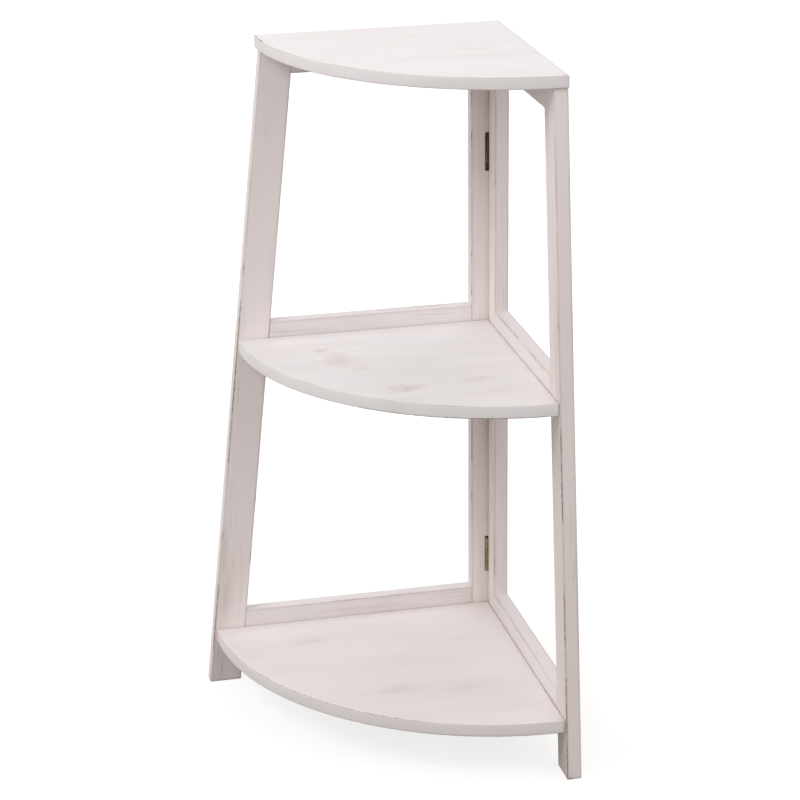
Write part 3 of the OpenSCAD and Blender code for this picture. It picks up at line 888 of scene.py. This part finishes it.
def make_shelf(level, seed):
    """A quarter-round shelf with eased edges, its grain along the left frame."""
    node = f"{level}_shelf"
    low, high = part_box(node)
    play = 0.0 if level == "top" else sizes().shelf_play
    centre = Vector((high.x + play, high.y + play, 0))
    radius = centre.x - low.x
    middle = Vector((centre.x, centre.y, (low.z + high.z) / 2))
    bpy.ops.object.select_all(action="DESELECT")
    bpy.ops.mesh.primitive_cylinder_add(vertices=sizes().arc_steps, radius=radius, depth=high.z - low.z,
                                        location=middle)
    piece = newest(f"{node}_board")
    straight = [Face(high, X), Face(high, Y)]
    flat = [Face(high, Z), Face(low, -Z)]
    reach = sizes().wear_reach
    arris = sizes().shelf_arris
    step = sizes().score_step

    def broad(face):
        return abs(face.normal.z) > PARALLEL and face.calc_area() > BROAD_FACE

    with shaping(piece):
        for face in straight:
            saw(face)
        choose(piece, "EDGE", sharp)
        ease(arris)
        choose(piece, "FACE", broad)
        bpy.ops.mesh.inset(thickness=reach)
        for face in flat:
            score(face.point - face.outward * reach, face.outward)
        for face in straight:
            score(face.point - face.outward * (reach + arris), face.outward)
            score(centre - face.outward * (radius - reach - arris), face.outward)
            for count in range(1, int(radius / step)):
                score(centre - face.outward * (count * step), face.outward)
    if level == "top":
        cut(piece, shelf_dowel_holes())

    def rim(place):
        return radius - (Vector((place.x, place.y, 0)) - centre).length

    rubs = rubs_on(rim, skin(flat[0]), X, RIM_RUBS[level]["upper"])
    rubs += rubs_on(rim, skin(flat[1]), X, RIM_RUBS[level]["lower"])
    mark(piece, X, Y, [skin(face) for face in straight + flat] + [rim], rubs, seed)
    finish(piece, node, node, "bottom" if level == "bottom" else "shelf")


def shelf_dowel_holes():
    """The shapes of the blind holes under the top shelf, which take its dowels."""
    low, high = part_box("top_shelf_dowels")
    radius = (high.y - low.y) / 2
    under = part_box("top_shelf")[0].z
    holes = []
    for x in (low.x + radius, high.x - radius):
        start = Vector((x, (low.y + high.y) / 2, under - 2 * CLEARANCE))
        end = Vector((start.x, start.y, high.z + CLEARANCE))
        holes.append(rod("dowel_cutter", start, end, radius + sizes().dowel_fit))
    return holes


class CORNERSHELF_OT_posts(bpy.types.Operator):
    """Make the two corner posts, with recesses for the hinges"""

    bl_idname = "corner_shelf.posts"
    bl_label = "Corner Posts"
    bl_options = {"REGISTER", "UNDO"}

    def execute(self, context):
        make_finishes()
        for seed, side in enumerate(SIDES, start=11):
            make_post(side, seed)
        return {"FINISHED"}


class CORNERSHELF_OT_legs(bpy.types.Operator):
    """Make the two leaning front legs"""

    bl_idname = "corner_shelf.legs"
    bl_label = "Front Legs"
    bl_options = {"REGISTER", "UNDO"}

    def execute(self, context):
        make_finishes()
        for seed, side in enumerate(SIDES, start=21):
            make_leg(side, seed)
        return {"FINISHED"}


class CORNERSHELF_OT_rails(bpy.types.Operator):
    """Make the three rails of each frame"""

    bl_idname = "corner_shelf.rails"
    bl_label = "Rails"
    bl_options = {"REGISTER", "UNDO"}

    def execute(self, context):
        make_finishes()
        for seed, (side, level) in enumerate(product(SIDES, LEVELS), start=31):
            make_rail(side, level, seed)
        return {"FINISHED"}


class CORNERSHELF_OT_cleats(bpy.types.Operator):
    """Make the cleats that carry the two lower shelves"""

    bl_idname = "corner_shelf.cleats"
    bl_label = "Cleats"
    bl_options = {"REGISTER", "UNDO"}

    def execute(self, context):
        make_finishes()
        for seed, (side, level) in enumerate(product(SIDES, LEVELS[1:]), start=41):
            make_cleat(side, level, seed)
        return {"FINISHED"}


class CORNERSHELF_OT_shelves(bpy.types.Operator):
    """Make the three quarter-round shelves"""

    bl_idname = "corner_shelf.shelves"
    bl_label = "Shelves"
    bl_options = {"REGISTER", "UNDO"}

    def execute(self, context):
        make_finishes()
        for seed, level in enumerate(LEVELS, start=51):
            make_shelf(level, seed)
        return {"FINISHED"}


class CORNERSHELF_OT_hinges(bpy.types.Operator):
    """Finish the two butt hinges and their pins in aged brass"""

    bl_idname = "corner_shelf.hinges"
    bl_label = "Hinges"
    bl_options = {"REGISTER", "UNDO"}

    def execute(self, context):
        make_finishes()
        for level in ("upper", "lower"):
            for side in SIDES:
                # Each hinge's leaves take the brass for its level; the upper one's is darker as painted
                # shade.
                coat(NODES[f"{level}_hinge_{side.name}_leaf"], f"{level}_brass")
            coat(NODES[f"{level}_hinge_pin"], "dark_brass")
        return {"FINISHED"}


class CORNERSHELF_OT_fixings(bpy.types.Operator):
    """Finish the dowels and screws"""

    bl_idname = "corner_shelf.fixings"
    bl_label = "Dowels and Screws"
    bl_options = {"REGISTER", "UNDO"}

    def execute(self, context):
        make_finishes()
        for node in ("left_frame_dowels", "right_frame_dowels", "top_shelf_dowels"):
            coat(NODES[node], "pine")
        for side in SIDES:
            coat(NODES[f"{side.name}_cleat_screws"], "zinc")
            coat(NODES[f"{side.name}_leaf_screws"], "dark_brass")
        return {"FINISHED"}


# Stage: floor, soft light and camera
CAMERA_TARGET = Vector((0.025246, 0.025558, 0.4))
CAMERA_AZIMUTH = radians(-12.9577)
CAMERA_ELEVATION = radians(19.993)
CAMERA_ROLL = radians(-0.6019)
CAMERA_DISTANCE = 3.136767
CAMERA_LENS = 122.8698

# Lamps: name, place, size across, power in watts
LAMPS = (
    ("left_softbox", (-1.9, -0.9, 2.6), 1.0, 24.0),
    ("side_softbox", (-2.5, 0.9, 1.5), 1.0, 12.5),
    ("front_softbox", (-1.3, -2.6, 1.9), 1.0, 12.5),
    ("right_softbox", (1.9, -1.9, 1.7), 1.6, 12.0),
    ("back_softbox", (0.5, 1.2, 2.6), 2.0, 13.0),
)
LAMP_AIM = Vector((0.0, 0.0, 0.4))
WHITE = (1.0, 1.0, 1.0, 1.0)
SKY_COLOUR = (1.0, 0.985, 0.97, 1.0)
SKY_LEVEL = 0.49
FLOOR_COLOUR = (0.33, 0.32, 0.305, 1.0)
FLOOR_RADIUS = 14.0
# How white the floor shows in the middle, and between which distances it turns fully white
FLOOR_LEVEL = 0.78
FLOOR_FADE = (0.4, 1.8)


def is_seen(tree):
    """1 for a ray that shows the surface in the picture, straight or through a gloss or glass."""
    path = tree.add("ShaderNodeLightPath").outputs
    seen = tree.plus(path["Is Camera Ray"], path["Is Glossy Ray"])
    return tree.math("ADD", seen, path["Is Transmission Ray"], clamp=True)


def floor_material():
    """A pale floor that shows white, more surely so away from the object, and keeps a soft shadow."""
    material, tree = new_material("pale_floor")
    base = tree.add("ShaderNodeBsdfDiffuse", {"Color": FLOOR_COLOUR})
    level = tree.step(tree.distance(tree.place()), *FLOOR_FADE, FLOOR_LEVEL, 1.0)
    lift = tree.add("ShaderNodeEmission", {"Color": WHITE, "Strength": tree.times(is_seen(tree), level)})
    both = tree.add("ShaderNodeAddShader", {0: base.outputs[0], 1: lift.outputs[0]})
    tree.add("ShaderNodeOutputMaterial", {"Surface": both.outputs[0]})
    return material


def white_world():
    """An even sky that shows white and lights the object at a plain level."""
    world = bpy.data.worlds.new("studio")
    world.use_nodes = True
    world.node_tree.nodes.clear()
    tree = Tree(world.node_tree)
    level = tree.plus(tree.times(is_seen(tree), 1.0 - SKY_LEVEL), SKY_LEVEL)
    tint = tree.mix(is_seen(tree), SKY_COLOUR, WHITE)
    sky = tree.add("ShaderNodeBackground", {"Color": tint, "Strength": level})
    tree.add("ShaderNodeOutputWorld", {"Surface": sky.outputs[0]})
    bpy.context.scene.world = world


def aim(place, target):
    """The turn of a lamp that looks from a place at a target."""
    return (target - place).to_track_quat("-Z", "Y").to_euler()


def add_camera():
    """The camera at the photograph's place and angle, level apart from a slight roll."""
    back = Vector((sin(CAMERA_AZIMUTH) * cos(CAMERA_ELEVATION),
                   -cos(CAMERA_AZIMUTH) * cos(CAMERA_ELEVATION), sin(CAMERA_ELEVATION)))
    right = Vector((cos(CAMERA_AZIMUTH), sin(CAMERA_AZIMUTH), 0))
    up = back.cross(right)
    rolled_right = right * cos(CAMERA_ROLL) + up * sin(CAMERA_ROLL)
    rolled_up = up * cos(CAMERA_ROLL) - right * sin(CAMERA_ROLL)
    bpy.ops.object.camera_add()
    camera = bpy.context.object
    camera.name = "camera"
    camera.matrix_world = Matrix.Translation(CAMERA_TARGET + back * CAMERA_DISTANCE) @ Matrix(
        (rolled_right, rolled_up, back)).transposed().to_4x4()
    camera.data.sensor_width = 36.0
    camera.data.lens = CAMERA_LENS
    bpy.context.scene.camera = camera


class CORNERSHELF_OT_stage(bpy.types.Operator):
    """Add the floor, the soft light and the camera"""

    bl_idname = "corner_shelf.stage"
    bl_label = "Stage"
    bl_options = {"REGISTER", "UNDO"}

    def execute(self, context):
        context.scene.view_settings.view_transform = "Standard"
        bpy.ops.object.select_all(action="DESELECT")
        bpy.ops.mesh.primitive_circle_add(vertices=96, radius=FLOOR_RADIUS, fill_type="NGON")
        floor = newest("floor")
        floor.data.materials.append(floor_material())
        white_world()
        for name, place, size, power in LAMPS:
            bpy.ops.object.light_add(type="AREA", location=place, rotation=aim(Vector(place), LAMP_AIM))
            lamp = context.object
            lamp.name = name
            lamp.data.shape = "SQUARE"
            lamp.data.size = size
            lamp.data.energy = power
            lamp.visible_camera = False
        add_camera()
        return {"FINISHED"}


class CORNERSHELF_PT_panel(bpy.types.Panel):
    """Lists the shelf's pieces, sizes and colours"""

    bl_idname = "CORNERSHELF_PT_panel"
    bl_label = "Corner Shelf"
    bl_space_type = "VIEW_3D"
    bl_region_type = "UI"
    bl_category = "Corner Shelf"

    def draw(self, context):
        column = self.layout.column(align=True)
        for operator in OPERATORS:
            column.operator(operator.bl_idname)
        for group in (context.scene.corner_shelf_sizes, context.scene.corner_shelf_colours):
            column = self.layout.column()
            for name in type(group).__annotations__:
                column.prop(group, name)


OPERATORS = (
    CORNERSHELF_OT_posts,
    CORNERSHELF_OT_legs,
    CORNERSHELF_OT_rails,
    CORNERSHELF_OT_cleats,
    CORNERSHELF_OT_shelves,
    CORNERSHELF_OT_hinges,
    CORNERSHELF_OT_fixings,
    CORNERSHELF_OT_stage,
)
CLASSES = (ShelfSizes, ShelfColours) + OPERATORS + (CORNERSHELF_PT_panel,)


def register():
    for made in CLASSES:
        bpy.utils.register_class(made)
    bpy.types.Scene.corner_shelf_sizes = PointerProperty(type=ShelfSizes)
    bpy.types.Scene.corner_shelf_colours = PointerProperty(type=ShelfColours)


def unregister():
    del bpy.types.Scene.corner_shelf_colours
    del bpy.types.Scene.corner_shelf_sizes
    for made in reversed(CLASSES):
        bpy.utils.unregister_class(made)


def main():
    """Make every piece and the stage."""
    register()
    bpy.ops.corner_shelf.posts()
    bpy.ops.corner_shelf.legs()
    bpy.ops.corner_shelf.rails()
    bpy.ops.corner_shelf.cleats()
    bpy.ops.corner_shelf.shelves()
    bpy.ops.corner_shelf.hinges()
    bpy.ops.corner_shelf.fixings()
    bpy.ops.corner_shelf.stage()


if __name__ == "__main__":
    main()
